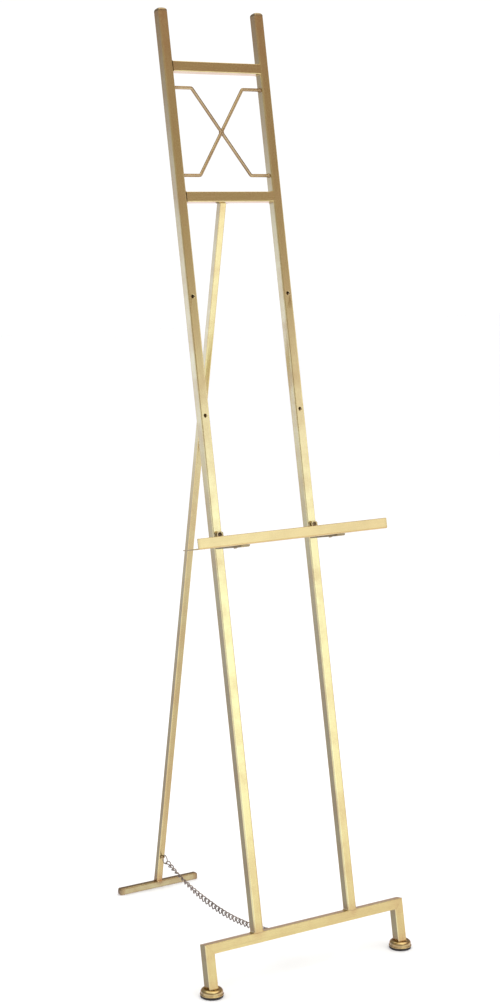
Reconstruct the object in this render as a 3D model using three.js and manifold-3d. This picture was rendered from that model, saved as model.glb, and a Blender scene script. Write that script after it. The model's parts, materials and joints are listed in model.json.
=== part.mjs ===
// Display easel: a leaning frame of square tube, a hinged rear leg held by a chain, and a shelf
// that pegs into holes in the uprights. Millimetres, +Z up, the front towards -Y.
import * as THREE from "three";
import { mergeVertices } from "three/addons/utils/BufferGeometryUtils.js";
import Module from "manifold-3d";

const wasm = await Module();
wasm.setup();

// ---------------------------------------------------------------- driving dimensions
const GAP = 0.3; // between pieces that touch
const LEAN = THREE.MathUtils.degToRad(10.9); // the frame's lean from the vertical
const ROUND_SIDES = 16;

// Front frame, in the leaning plane: x across, s up along the frame, n backwards from its face.
const TUBE = 18;
const TUBE_WALL = 1.2;
const UPRIGHT_X = 100;
const UPRIGHT_TOP = 1700.5;
const CAP_RISE = 6;
const TOP_RAIL_S = 1604;
const MID_RAIL_S = 1375;
const BASE_RAIL_S = 83;
const BASE_HALF_LENGTH = 211.6;
const PEG_HOLE_R = 3.25;
const PEG_HOLE_TOP_S = 1201;
const PEG_HOLE_PITCH = 208;
const PEG_HOLE_TIERS = 3;

// Feet: level round ferrules on glide pads.
const FOOT_R = 20.7;
const FOOT_TOP = 15.5;
const FOOT_Y = 10.5;
const PAD_R = 17;
const PAD_TOP = 3;

// Lattice of round rod between the top and middle rails.
const ROD_R = 3;
const ROD_SIDES = 10;
const LATTICE_TOP_S = 1568;
const LATTICE_LOW_S = 1414;
const LATTICE_BEND_X = 53;
const LATTICE_BEND_R = 9;

// Rear leg and its hinge behind the middle rail.
const LEG_TUBE = 12.7;
const LEG_WALL = 1;
const LEG_TILT = THREE.MathUtils.degToRad(10.22); // from the vertical when the leg is open
const HINGE_N = 30;
const LEG_LENGTH = 1353.3; // from the pivot to the top of the foot bar
const LEG_ABOVE_PIVOT = 8.5;
const BAR_HALF_LENGTH = 89;
const BAR_CAP = 5;
const BOLT_R = 3;
const BOLT_HOLE_R = 3.35;
const WASHER = 1;
const EAR = 3;
const EAR_R = 7;
const EAR_HALF_HEIGHT = 8;

// Chain: thirteen stretches of three links, and the large ring that joins them to the leg.
const STRETCHES = 13;
const STRETCH = 36;
const FIRST_PITCH = -19.622; // degrees, the slope of the first stretch behind the rail
const LAST_PITCH = 18.8366; // degrees, the slope of the last stretch before the ring
const STRETCH_WIDTH = 6;
const STRETCH_THICK = 2.1;
const STRETCH_END_GAP = 1.3;
const RAIL_END_GAP = 3;
const RING_END_GAP = 2;
const SPLIT_AFTER = 6; // stretches 1 to 6 hang from the rail, the others from the leg
const SPLIT_LAP = 12; // the two ends at the split are halved, so one can pass under the other
const RAIL_EYE_S = 69;
const RAIL_EYE_N = 23.5;
const LEG_EYE_DROP = 1298; // along the leg from the pivot
const LEG_EYE_REACH = 5.5; // from the leg's face to the eye's bar
const EYE_R = 3.3;
const WIRE_R = 1;
const RING_R = 8.5;
const RING_OFFSET = 6.3; // from the eye's bar to the ring's centre

// Shelf: an angle tray on two bent straps, with a peg through each upright.
const SHELF_S = 785; // the pegs' height on the frame
const TRAY_HALF_LENGTH = 197.5;
const TRAY_SHEET = 1.6;
const TRAY_FRONT_N = -91;
const TRAY_BACK_N = -40;
const TRAY_BOTTOM_S = 764.5;
const LIP_TOP_S = 783.4;
const STRAP_WIDTH = 18;
const STRAP_BACK = 4;
const STRAP_ARM = 3.7;
const STRAP_TOP_S = 791;
const STRAP_FRONT_N = -87;
const PEG_R = 3;
const PEG_TIP_N = 22;
const PEG_HEAD_R = 4.4;
const PEG_HEAD = 2.6;
const RIVET_N = -52;
const RIVET_R = 2;
const RIVET_HEAD_R = 3.6;
const RIVET_HEAD = 1.4;
const SINK_R = 3.4; // the countersunk head, flush with the tray
const SINK = 1.1;

// ---------------------------------------------------------------- materials
const metal = (name, color, roughness) =>
  new THREE.MeshStandardMaterial({ name, color, roughness, metalness: 1 });
const brass = () => metal("antique_brass", 0xb99b63, 0.38);
const paleBrass = () => metal("brushed_brass", 0xd8c79a, 0.34);
const darkBrass = () => metal("aged_brass", 0x8a6f48, 0.45);
const chainMetal = () => metal("chain_bronze", 0x5c564c, 0.42);
const padRubber = () =>
  new THREE.MeshStandardMaterial({ name: "pad", color: 0x1c1a18, roughness: 0.8 });

// ---------------------------------------------------------------- shapes
function solidOf(geometry) {
  const bare = geometry.clone();
  bare.deleteAttribute("normal");
  bare.deleteAttribute("uv");
  const merged = mergeVertices(bare, 1e-4);
  return new wasm.Manifold(
    new wasm.Mesh({
      numProp: 3,
      vertProperties: new Float32Array(merged.attributes.position.array),
      triVerts: new Uint32Array(merged.index.array),
    }),
  );
}

function geometryOf(solid) {
  const mesh = solid.getMesh();
  const geometry = new THREE.BufferGeometry();
  geometry.setAttribute("position", new THREE.BufferAttribute(mesh.vertProperties, 3));
  geometry.setIndex(new THREE.BufferAttribute(mesh.triVerts, 1));
  return geometry;
}

const cut = (geometry, ...tools) =>
  geometryOf(tools.reduce((solid, tool) => solid.subtract(solidOf(tool)), solidOf(geometry)));
const join = (...pieces) =>
  geometryOf(pieces.map(solidOf).reduce((sum, piece) => sum.add(piece)));
const common = (a, b) => geometryOf(solidOf(a).intersect(solidOf(b)));

function box(x0, x1, y0, y1, z0, z1) {
  const shape = new THREE.BoxGeometry(x1 - x0, y1 - y0, z1 - z0);
  return shape.translate((x0 + x1) / 2, (y0 + y1) / 2, (z0 + z1) / 2);
}

// A square tube along Z, open at both ends.
function squareTube(side, wall, z0, z1) {
  const outline = (half) => [
    new THREE.Vector2(-half, -half),
    new THREE.Vector2(half, -half),
    new THREE.Vector2(half, half),
    new THREE.Vector2(-half, half),
  ];
  const shape = new THREE.Shape(outline(side / 2));
  shape.holes.push(new THREE.Path(outline(side / 2 - wall).reverse()));
  const tube = new THREE.ExtrudeGeometry(shape, { depth: z1 - z0, bevelEnabled: false });
  return tube.translate(0, 0, z0);
}

// A round bar along X, Y or Z between two positions on that axis.
function roundBar(axis, radius, from, to, sides = ROUND_SIDES) {
  const bar = new THREE.CylinderGeometry(radius, radius, to - from, sides);
  bar.translate(0, (from + to) / 2, 0);
  if (axis === "x") bar.rotateZ(-Math.PI / 2);
  if (axis === "z") bar.rotateX(Math.PI / 2);
  return bar;
}

// A piece turned about Z from [radius, height] points that start and end on the axis.
function turned(profile, sides) {
  const points = profile.map(([r, z]) => new THREE.Vector2(r, z));
  return new THREE.LatheGeometry(points, sides).rotateX(Math.PI / 2);
}

// A square plug: a stem inside the tube and a domed head on its end, the head rising from 0.
function plug(side, wall, rise, stem) {
  const corner = Math.SQRT2 / 2;
  const inner = (side - 2 * wall - 0.8) * corner;
  const profile = [
    [0, -stem],
    [inner, -stem],
    [inner, GAP],
    [side * corner, GAP],
    [side * corner, rise * 0.45],
    [side * 0.93 * corner, rise * 0.75],
    [side * 0.76 * corner, rise * 0.94],
    [side * 0.5 * corner, rise],
    [0, rise],
  ];
  return turned(profile, 4).rotateZ(Math.PI / 4);
}

// A plate with the given outline of [y, z] points, between two x positions.
function plate(outline, x0, x1) {
  const shape = new THREE.Shape(outline.map(([y, z]) => new THREE.Vector2(y, z)));
  const body = new THREE.ExtrudeGeometry(shape, { depth: x1 - x0, bevelEnabled: false });
  return body.rotateX(Math.PI / 2).rotateZ(Math.PI / 2).translate(x0, 0, 0);
}

// A route through straight and curved stations, one station for each step of the extrusion.
class StationCurve extends THREE.Curve {
  constructor(stations) {
    super();
    this.stations = stations;
  }
  getPointAt(t) {
    const place = t * (this.stations.length - 1);
    const first = Math.min(Math.floor(place), this.stations.length - 2);
    return this.stations[first].clone().lerp(this.stations[first + 1], place - first);
  }
  getTangentAt(t) {
    const last = this.stations.length - 1;
    const here = Math.round(t * last);
    const before = this.stations[Math.max(here - 1, 0)];
    const after = this.stations[Math.min(here + 1, last)];
    return after.clone().sub(before).normalize();
  }
}

// A round rod through corner points, each inner corner rounded to the bend radius.
function bentRod(corners, radius, bend) {
  const stations = [corners[0]];
  for (let i = 1; i < corners.length - 1; i++) {
    const back = corners[i - 1].clone().sub(corners[i]).normalize();
    const on = corners[i + 1].clone().sub(corners[i]).normalize();
    const reach = bend / Math.tan(back.angleTo(on) / 2);
    const start = corners[i].clone().addScaledVector(back, reach);
    const end = corners[i].clone().addScaledVector(on, reach);
    const arc = new THREE.QuadraticBezierCurve3(start, corners[i], end);
    stations.push(...arc.getPoints(4));
  }
  stations.push(corners[corners.length - 1]);
  const section = new THREE.Shape();
  section.absarc(0, 0, radius, 0, 2 * Math.PI, false);
  return new THREE.ExtrudeGeometry(section, {
    steps: stations.length - 1,
    curveSegments: ROD_SIDES,
    extrudePath: new StationCurve(stations),
  });
}

// ---------------------------------------------------------------- groups and placing
const easel = new THREE.Group();
const assembly = new THREE.Group();
const frame = new THREE.Group(); // the leaning frame: its Y is n and its Z is s
const leg = new THREE.Group(); // the rear leg's own axes: Z up along the leg from the pivot
frame.rotation.x = -LEAN;
leg.rotation.x = LEG_TILT;
const onFrame = (x, s, n) =>
  new THREE.Vector3(x, n, s).applyAxisAngle(new THREE.Vector3(1, 0, 0), -LEAN);
const pivot = onFrame(0, MID_RAIL_S, HINGE_N);
leg.position.copy(pivot);
easel.add(assembly);
assembly.add(frame, leg);

function add(parent, name, geometry, material) {
  const mesh = new THREE.Mesh(geometry, material);
  mesh.name = name;
  parent.add(mesh);
  return mesh;
}
const sides = [
  ["left", -1],
  ["right", 1],
];

// The plane z = height of the level world, as a large box above it, in a tilted group's axes.
function levelBox(group, height, reach) {
  const level = box(-400, 400, -900, 900, height - reach, height);
  group.updateMatrix();
  return level.applyMatrix4(group.matrix.clone().invert());
}

// ---------------------------------------------------------------- front frame
const half = TUBE / 2;
const railReach = UPRIGHT_X - half - GAP;
const baseTop = BASE_RAIL_S + half;
const baseBottom = BASE_RAIL_S - half;

function upright(x) {
  let tube = squareTube(TUBE, TUBE_WALL, baseTop + GAP, UPRIGHT_TOP);
  for (let tier = 0; tier < PEG_HOLE_TIERS; tier++) {
    const drill = roundBar("y", PEG_HOLE_R, -TUBE, TUBE);
    tube = cut(tube, drill.translate(0, 0, PEG_HOLE_TOP_S - tier * PEG_HOLE_PITCH));
  }
  return tube.translate(x, half, 0);
}

function crossRail(s) {
  const rail = squareTube(TUBE, TUBE_WALL, -railReach, railReach).rotateY(Math.PI / 2);
  return rail.translate(0, half, s);
}

// The base rail's ends are cut at 45 degrees, down and inwards, to meet the stub legs.
function baseRail() {
  const rail = squareTube(TUBE, TUBE_WALL, -BASE_HALF_LENGTH, BASE_HALF_LENGTH);
  const top = BASE_HALF_LENGTH - GAP;
  const outline = new THREE.Shape([
    new THREE.Vector2(-top, baseTop),
    new THREE.Vector2(-(top - TUBE), baseBottom),
    new THREE.Vector2(top - TUBE, baseBottom),
    new THREE.Vector2(top, baseTop),
  ]);
  const mitre = new THREE.ExtrudeGeometry(outline, { depth: 2 * TUBE, bevelEnabled: false });
  mitre.rotateX(Math.PI / 2).translate(0, 1.5 * TUBE, 0);
  return common(rail.rotateY(Math.PI / 2).translate(0, half, BASE_RAIL_S), mitre);
}

// A stub leg is cut at 45 degrees above and level with the foot below.
function stubLeg(side) {
  const x = BASE_HALF_LENGTH - half;
  const tube = squareTube(TUBE, TUBE_WALL, -5, baseTop).translate(side * x, half, 0);
  const inner = x - half;
  const outline = new THREE.Shape([
    new THREE.Vector2(side * (inner - 1), baseBottom - 1),
    new THREE.Vector2(side * (inner + TUBE + 1), baseTop + 1),
    new THREE.Vector2(side * (inner - 1), baseTop + 1),
  ]);
  const mitre = new THREE.ExtrudeGeometry(outline, { depth: 2 * TUBE, bevelEnabled: false });
  mitre.rotateX(Math.PI / 2).translate(0, 1.5 * TUBE, 0);
  return cut(tube, mitre, levelBox(frame, FOOT_TOP + GAP, 60));
}

for (const [name, side] of sides) {
  add(frame, "upright_" + name, upright(side * UPRIGHT_X), brass());
  const cap = add(frame, "upright_cap_" + name, plug(TUBE, TUBE_WALL, CAP_RISE, 10), darkBrass());
  cap.position.set(side * UPRIGHT_X, half, UPRIGHT_TOP);
  add(frame, "stub_leg_" + name, stubLeg(side), brass());
}
add(frame, "top_rail", crossRail(TOP_RAIL_S), brass());
add(frame, "mid_rail", crossRail(MID_RAIL_S), brass());
add(frame, "base_rail", baseRail(), brass());

// ---------------------------------------------------------------- feet
const footProfile = [
  [0, PAD_TOP + GAP],
  [FOOT_R * 0.9, PAD_TOP + GAP],
  [FOOT_R, PAD_TOP + 2.4],
  [FOOT_R, FOOT_TOP * 0.6],
  [FOOT_R * 0.95, FOOT_TOP * 0.79],
  [FOOT_R * 0.82, FOOT_TOP * 0.94],
  [FOOT_R * 0.66, FOOT_TOP],
  [0, FOOT_TOP],
];
for (const [name, side] of sides) {
  const foot = add(assembly, "foot_" + name, turned(footProfile, 32), brass());
  const pad = add(
    assembly,
    "foot_pad_" + name,
    roundBar("z", PAD_R, 0, PAD_TOP, 24),
    padRubber(),
  );
  for (const piece of [foot, pad]) {
    piece.position.set(side * (BASE_HALF_LENGTH - half), FOOT_Y, 0);
  }
}

// ---------------------------------------------------------------- lattice
const lattice = (x, s) => new THREE.Vector3(x, half, s);
const rodEnd = UPRIGHT_X - half - GAP;
const crossing = lattice(0, (LATTICE_TOP_S + LATTICE_LOW_S) / 2);
const longRoute = [
  lattice(-rodEnd, LATTICE_TOP_S),
  lattice(-LATTICE_BEND_X, LATTICE_TOP_S),
  lattice(LATTICE_BEND_X, LATTICE_LOW_S),
  lattice(rodEnd, LATTICE_LOW_S),
];
const upperRoute = [
  lattice(rodEnd, LATTICE_TOP_S),
  lattice(LATTICE_BEND_X, LATTICE_TOP_S),
  crossing,
];
const lowerRoute = [
  lattice(-rodEnd, LATTICE_LOW_S),
  lattice(-LATTICE_BEND_X, LATTICE_LOW_S),
  crossing,
];
const cope = bentRod([longRoute[1], longRoute[2]], ROD_R + GAP, LATTICE_BEND_R);
add(frame, "lattice_rod_long", bentRod(longRoute, ROD_R, LATTICE_BEND_R), brass());
add(frame, "lattice_rod_upper", cut(bentRod(upperRoute, ROD_R, LATTICE_BEND_R), cope), brass());
add(frame, "lattice_rod_lower", cut(bentRod(lowerRoute, ROD_R, LATTICE_BEND_R), cope), brass());

// ---------------------------------------------------------------- hinge
const legHalf = LEG_TUBE / 2;
const washerIn = legHalf + GAP;
const earIn = washerIn + WASHER + GAP;
const earOut = earIn + EAR;
const boltEnd = earOut + GAP + 5;

function hingeEar(side) {
  const outline = [
    [TUBE + GAP, -EAR_HALF_HEIGHT],
    [HINGE_N, -EAR_R],
  ];
  for (let step = 1; step < 8; step++) {
    const turn = -Math.PI / 2 + (step / 8) * Math.PI;
    outline.push([HINGE_N + EAR_R * Math.cos(turn), EAR_R * Math.sin(turn)]);
  }
  outline.push([HINGE_N, EAR_R], [TUBE + GAP, EAR_HALF_HEIGHT]);
  const ear = plate(outline, side < 0 ? -earOut : earIn, side < 0 ? -earIn : earOut);
  const hole = roundBar("x", BOLT_HOLE_R, -TUBE, TUBE).translate(0, HINGE_N, 0);
  return cut(ear, hole).translate(0, 0, MID_RAIL_S);
}

function ringPlate(outer, x0, x1, segments) {
  const disc = roundBar("x", outer, x0, x1, segments);
  return cut(disc, roundBar("x", BOLT_HOLE_R, x0 - 1, x1 + 1));
}

function hingeBolt() {
  const shaft = roundBar("x", BOLT_R, -earOut - GAP - 1, boltEnd);
  return join(shaft, roundBar("x", 5.6, -earOut - GAP - 4, -earOut - GAP, 6));
}

for (const [name, side] of sides) {
  add(frame, "hinge_ear_" + name, hingeEar(side), brass());
  const from = side < 0 ? -washerIn - WASHER : washerIn;
  const washer = ringPlate(6, from, from + WASHER, ROUND_SIDES);
  add(frame, "hinge_washer_" + name, washer, darkBrass()).position.set(0, HINGE_N, MID_RAIL_S);
}
const nut = ringPlate(5.6, earOut + GAP, earOut + GAP + 4.4, 6);
add(frame, "hinge_nut", nut, darkBrass()).position.set(0, HINGE_N, MID_RAIL_S);
add(frame, "hinge_bolt", hingeBolt(), darkBrass()).position.set(0, HINGE_N, MID_RAIL_S);

// ---------------------------------------------------------------- rear leg
function rearLeg() {
  const tube = squareTube(LEG_TUBE, LEG_WALL, -LEG_LENGTH - 10, LEG_ABOVE_PIVOT);
  const hole = roundBar("x", BOLT_HOLE_R, -LEG_TUBE, LEG_TUBE);
  return cut(tube, hole, levelBox(leg, LEG_TUBE + GAP, 60));
}
add(leg, "rear_leg", rearLeg(), brass());
const legPlug = add(leg, "rear_leg_plug", plug(LEG_TUBE, LEG_WALL, 2, 4), darkBrass());
legPlug.position.z = LEG_ABOVE_PIVOT;

const barY = pivot.y + LEG_LENGTH * Math.sin(LEG_TILT);
const barTubeEnd = BAR_HALF_LENGTH - BAR_CAP;
const footBar = squareTube(LEG_TUBE, LEG_WALL, -barTubeEnd, barTubeEnd).rotateY(Math.PI / 2);
add(assembly, "rear_foot_bar", footBar, brass()).position.set(0, barY, legHalf);
for (const [name, side] of sides) {
  const cap = plug(LEG_TUBE, LEG_WALL, BAR_CAP, 8).rotateY((side * Math.PI) / 2);
  add(assembly, "bar_cap_" + name, cap, darkBrass()).position.set(side * barTubeEnd, barY, legHalf);
}

// The leg's eye: a bent wire, its bar level and its two ends on the leg's front face.
function legEye() {
  const wire = new THREE.TorusGeometry(EYE_R, WIRE_R, 8, 20);
  const reach = legHalf + LEG_EYE_REACH - EYE_R;
  wire.translate(0, -reach, -LEG_EYE_DROP);
  const face = -legHalf - GAP;
  return cut(wire, box(-9, 9, face, 9, -LEG_EYE_DROP - 9, -LEG_EYE_DROP + 9));
}
add(leg, "leg_chain_eye", legEye(), darkBrass());

// ---------------------------------------------------------------- chain
const railEye = onFrame(0, RAIL_EYE_S, RAIL_EYE_N);
const upAndDown = (radius) =>
  new THREE.TorusGeometry(radius, WIRE_R, 8, 24).rotateY(Math.PI / 2);

// The rail's eye: an upright wire ring just above the chain's end, on a short post.
function railEyeWire() {
  const centre = new THREE.Vector3(0, 0, GAP + WIRE_R + EYE_R).add(railEye);
  const ring = upAndDown(EYE_R).translate(centre.x, centre.y, centre.z);
  const post = box(-1.2, 1.2, TUBE + GAP, TUBE + 3.4, baseBottom + 0.6, baseBottom + 4);
  return join(ring, post.rotateX(-LEAN));
}
add(assembly, "rail_chain_eye", railEyeWire(), darkBrass());

// One stretch of links as a slim bar, from its own joint at 0 along +Y.
function stretchBar(startGap, endGap) {
  const w = STRETCH_WIDTH / 2;
  const chamfer = 1.5;
  const outline = new THREE.Shape([
    new THREE.Vector2(-w + chamfer, startGap),
    new THREE.Vector2(w - chamfer, startGap),
    new THREE.Vector2(w, startGap + chamfer),
    new THREE.Vector2(w, STRETCH - endGap - chamfer),
    new THREE.Vector2(w - chamfer, STRETCH - endGap),
    new THREE.Vector2(-w + chamfer, STRETCH - endGap),
    new THREE.Vector2(-w, STRETCH - endGap - chamfer),
    new THREE.Vector2(-w, startGap + chamfer),
  ]);
  const bar = new THREE.ExtrudeGeometry(outline, { depth: STRETCH_THICK, bevelEnabled: false });
  return bar.translate(0, 0, -STRETCH_THICK / 2);
}

// The two bars at the split: the rail's side keeps its upper half and the leg's side its lower.
function halveEnd(bar, upper) {
  const [y0, y1] = upper ? [STRETCH - SPLIT_LAP, STRETCH + 1] : [-1, SPLIT_LAP];
  const [z0, z1] = upper ? [-STRETCH_THICK, 0.15] : [-0.15, STRETCH_THICK];
  return cut(bar, box(-STRETCH_WIDTH, STRETCH_WIDTH, y0, y1, z0, z1));
}

const joint = railEye.clone();
for (let i = 0; i < STRETCHES; i++) {
  const share = i / (STRETCHES - 1);
  const slope = THREE.MathUtils.degToRad(THREE.MathUtils.lerp(FIRST_PITCH, LAST_PITCH, share));
  const railGap = i === 0 ? RAIL_END_GAP : STRETCH_END_GAP;
  const ringGap = i === STRETCHES - 1 ? RING_END_GAP : STRETCH_END_GAP;
  let bar = stretchBar(railGap, ringGap);
  if (i === SPLIT_AFTER - 1) bar = halveEnd(bar, true);
  if (i === SPLIT_AFTER) bar = halveEnd(bar, false);
  const name = "chain_" + String(i + 1).padStart(2, "0");
  const mesh = add(assembly, name, bar, chainMetal());
  mesh.position.copy(joint);
  mesh.rotation.x = slope;
  joint.y += STRETCH * Math.cos(slope);
  joint.z += STRETCH * Math.sin(slope);
}

// The ring hangs from the leg's eye and carries the chain on towards the rail.
const legEyeBar = new THREE.Vector3(0, -legHalf - LEG_EYE_REACH, -LEG_EYE_DROP);
legEyeBar.applyEuler(leg.rotation).add(leg.position);
const towardsChain = joint.clone().sub(legEyeBar).normalize();
const ring = add(assembly, "chain_ring", upAndDown(RING_R), chainMetal());
ring.position.copy(legEyeBar).addScaledVector(towardsChain, RING_OFFSET);

// ---------------------------------------------------------------- shelf
const trayTop = TRAY_BOTTOM_S + TRAY_SHEET;

// A pin up to the tray's top face that widens there, or the hole for it, which runs on above.
function countersunk(radius, sinkRadius, low, above) {
  const profile = [
    [0, low],
    [radius, low],
    [radius, trayTop - SINK],
    [sinkRadius, trayTop],
    [sinkRadius, trayTop + above],
    [0, trayTop + above],
  ];
  return turned(above > 0 ? profile : profile.slice(0, 4).concat([[0, trayTop]]), ROUND_SIDES);
}

function tray() {
  const outline = [
    [TRAY_FRONT_N, TRAY_BOTTOM_S],
    [TRAY_BACK_N, TRAY_BOTTOM_S],
    [TRAY_BACK_N, TRAY_BOTTOM_S + TRAY_SHEET],
    [TRAY_FRONT_N + TRAY_SHEET, TRAY_BOTTOM_S + TRAY_SHEET],
    [TRAY_FRONT_N + TRAY_SHEET, LIP_TOP_S],
    [TRAY_FRONT_N, LIP_TOP_S],
  ];
  const holes = sides.map(([, side]) =>
    countersunk(RIVET_R + GAP, SINK_R + GAP, 700, 1).translate(side * UPRIGHT_X, RIVET_N, 0),
  );
  return cut(plate(outline, -TRAY_HALF_LENGTH, TRAY_HALF_LENGTH), ...holes);
}

// A strap: a back leaf on the upright's face and an arm forward under the tray.
function strap(x) {
  const armTop = TRAY_BOTTOM_S - GAP;
  const armBottom = armTop - STRAP_ARM;
  const outline = [
    [-GAP, armBottom + 2],
    [-GAP, STRAP_TOP_S],
    [-STRAP_BACK, STRAP_TOP_S],
    [-STRAP_BACK, armTop],
    [STRAP_FRONT_N, armTop],
    [STRAP_FRONT_N, armTop - 1.2],
    [STRAP_FRONT_N + 2.5, armBottom],
    [-GAP - 2, armBottom],
  ];
  const body = plate(outline, x - STRAP_WIDTH / 2, x + STRAP_WIDTH / 2);
  const pegHole = roundBar("y", PEG_R + GAP, -20, 20).translate(x, 0, SHELF_S);
  const rivetHole = roundBar("z", RIVET_R + GAP, 700, 800).translate(x, RIVET_N, 0);
  return cut(body, pegHole, rivetHole);
}

function peg(x) {
  const headBack = -STRAP_BACK - GAP;
  const pin = roundBar("y", PEG_R, headBack - PEG_HEAD + 0.5, PEG_TIP_N);
  const head = roundBar("y", PEG_HEAD_R, headBack - PEG_HEAD, headBack);
  return join(pin, head).translate(x, 0, SHELF_S);
}

function rivet(x) {
  const low = TRAY_BOTTOM_S - GAP - STRAP_ARM - GAP;
  const pin = countersunk(RIVET_R, SINK_R, low - 0.5, 0);
  const tail = roundBar("z", RIVET_HEAD_R, low - RIVET_HEAD, low);
  return join(pin, tail).translate(x, RIVET_N, 0);
}

add(frame, "shelf_tray", tray(), paleBrass());
for (const [name, side] of sides) {
  add(frame, "shelf_bracket_" + name, strap(side * UPRIGHT_X), brass());
  add(frame, "shelf_peg_" + name, peg(side * UPRIGHT_X), darkBrass());
  add(frame, "shelf_rivet_" + name, rivet(side * UPRIGHT_X), darkBrass());
}

// ---------------------------------------------------------------- origin
// The origin is the middle of the footprint on the floor, between the feet and the foot bar.
const frontEdge = FOOT_Y - FOOT_R;
const backEdge = barY + legHalf;
assembly.position.y = -(frontEdge + backEdge) / 2;

export default easel;
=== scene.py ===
# Display easel in antique brass. Shapes are in millimetres in the axes of the part they belong
# to, and a matrix puts them in the row frame in metres.
import json
import math

import bmesh
import bpy
from mathutils import Matrix, Vector


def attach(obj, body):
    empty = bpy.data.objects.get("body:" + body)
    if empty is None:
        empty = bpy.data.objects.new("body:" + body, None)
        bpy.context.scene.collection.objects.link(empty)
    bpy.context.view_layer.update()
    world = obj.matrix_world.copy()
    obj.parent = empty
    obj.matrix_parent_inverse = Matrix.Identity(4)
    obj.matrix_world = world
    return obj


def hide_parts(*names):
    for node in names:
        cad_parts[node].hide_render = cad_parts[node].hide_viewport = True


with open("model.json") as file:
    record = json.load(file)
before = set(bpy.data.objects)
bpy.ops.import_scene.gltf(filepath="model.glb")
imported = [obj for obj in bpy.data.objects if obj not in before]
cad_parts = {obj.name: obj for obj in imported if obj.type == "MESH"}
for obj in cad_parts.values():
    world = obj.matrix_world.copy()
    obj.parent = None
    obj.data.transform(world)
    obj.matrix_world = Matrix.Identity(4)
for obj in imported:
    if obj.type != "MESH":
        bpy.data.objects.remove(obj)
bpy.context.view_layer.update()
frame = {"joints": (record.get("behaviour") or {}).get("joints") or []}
MM = 0.001

# ------------------------------------------------------------------ dimensions, as in the CAD
TUBE = 18.0
WALL = 1.2
TUBE_CORNER = 2.7
UPRIGHT_X = 100.0
UPRIGHT_TOP = 1700.5
CAP_RISE = 6.0
TOP_RAIL_S = 1604.0
MID_RAIL_S = 1375.0
BASE_RAIL_S = 83.0
BASE_HALF = 211.6
PEG_HOLE_R = 3.25
PEG_HOLES_S = (1201.0, 993.0, 785.0)
LATTICE_TOP_S = 1568.0
LATTICE_LOW_S = 1414.0
LATTICE_BEND_X = 53.0
ROD_R = 3.0
LEG_TUBE = 12.7
LEG_CORNER = 1.9
LEG_WALL = 1.0
LEG_DROP = 1353.3
LEG_ABOVE_PIVOT = 8.5
LEG_TILT = math.radians(10.22)
HINGE_N = 30.0
BOLT_R = 3.0
BOLT_BORE_R = 3.35
WASHER_R = 6.0
WASHER_X = (6.65, 7.65)
EAR_X = (7.95, 10.95)
EAR_R = 7.0
EAR_HALF_HEIGHT = 8.0
BAR_HALF = 84.0
BAR_CAP_RISE = 5.0
FOOT_Y = 10.5
STRETCH = 36.0
STRETCHES = 13
LINKS_PER_STRETCH = 3
FIRST_PITCH = math.radians(-19.622)
LAST_PITCH = math.radians(18.8366)
RAIL_EYE_S = 69.0
RAIL_EYE_N = 23.5
LEG_EYE_DROP = 1298.0
LEG_EYE_REACH = 11.85
EYE_R = 3.3
WIRE_R = 1.0
RING_R = 8.5
RING_OFFSET = 6.3
SHELF_S = 785.0
TRAY_HALF = 197.5
TRAY_FRONT = -91.0
TRAY_BACK = -40.0
TRAY_LOW = 764.5
TRAY_SHEET = 1.6
LIP_TOP = 783.4
STRAP_WIDTH = 18.0
STRAP_THICK = 3.7
RIVET_N = -52.0

# Only in this model: a hairline between pieces that meet, where a weld bead stops short of a
# tube's corner, and the crisper edges that the photograph shows on the rails and stub legs.
TOUCH = 0.05
WELD_END = 0.9
RAIL_CORNER = 1.3


# ------------------------------------------------------------------ axes
def joint(name):
    return next(j for j in frame["joints"] if j["name"] == name)


LEAN = math.asin(joint("shelf_pull")["axis"][2])
PIVOT = Vector(joint("rear_leg_fold")["pos_m"]) / MM


def frame_axes():
    """Row-frame matrix of the leaning frame: local x across, y backwards (n), z up along it (s)."""
    turn = Matrix.Rotation(-LEAN, 4, "X")
    shift = PIVOT - turn @ Vector((0, HINGE_N, MID_RAIL_S))
    return Matrix.Translation(shift) @ turn


ON_FRAME = frame_axes()
ON_LEG = Matrix.Translation(PIVOT) @ Matrix.Rotation(LEG_TILT, 4, "X")
FLOOR_SHIFT = ON_FRAME.translation.y
ON_FLOOR = Matrix.Translation((0, FLOOR_SHIFT, 0))
BAR_Y = PIVOT.y + LEG_DROP * math.sin(LEG_TILT) - FLOOR_SHIFT


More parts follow.
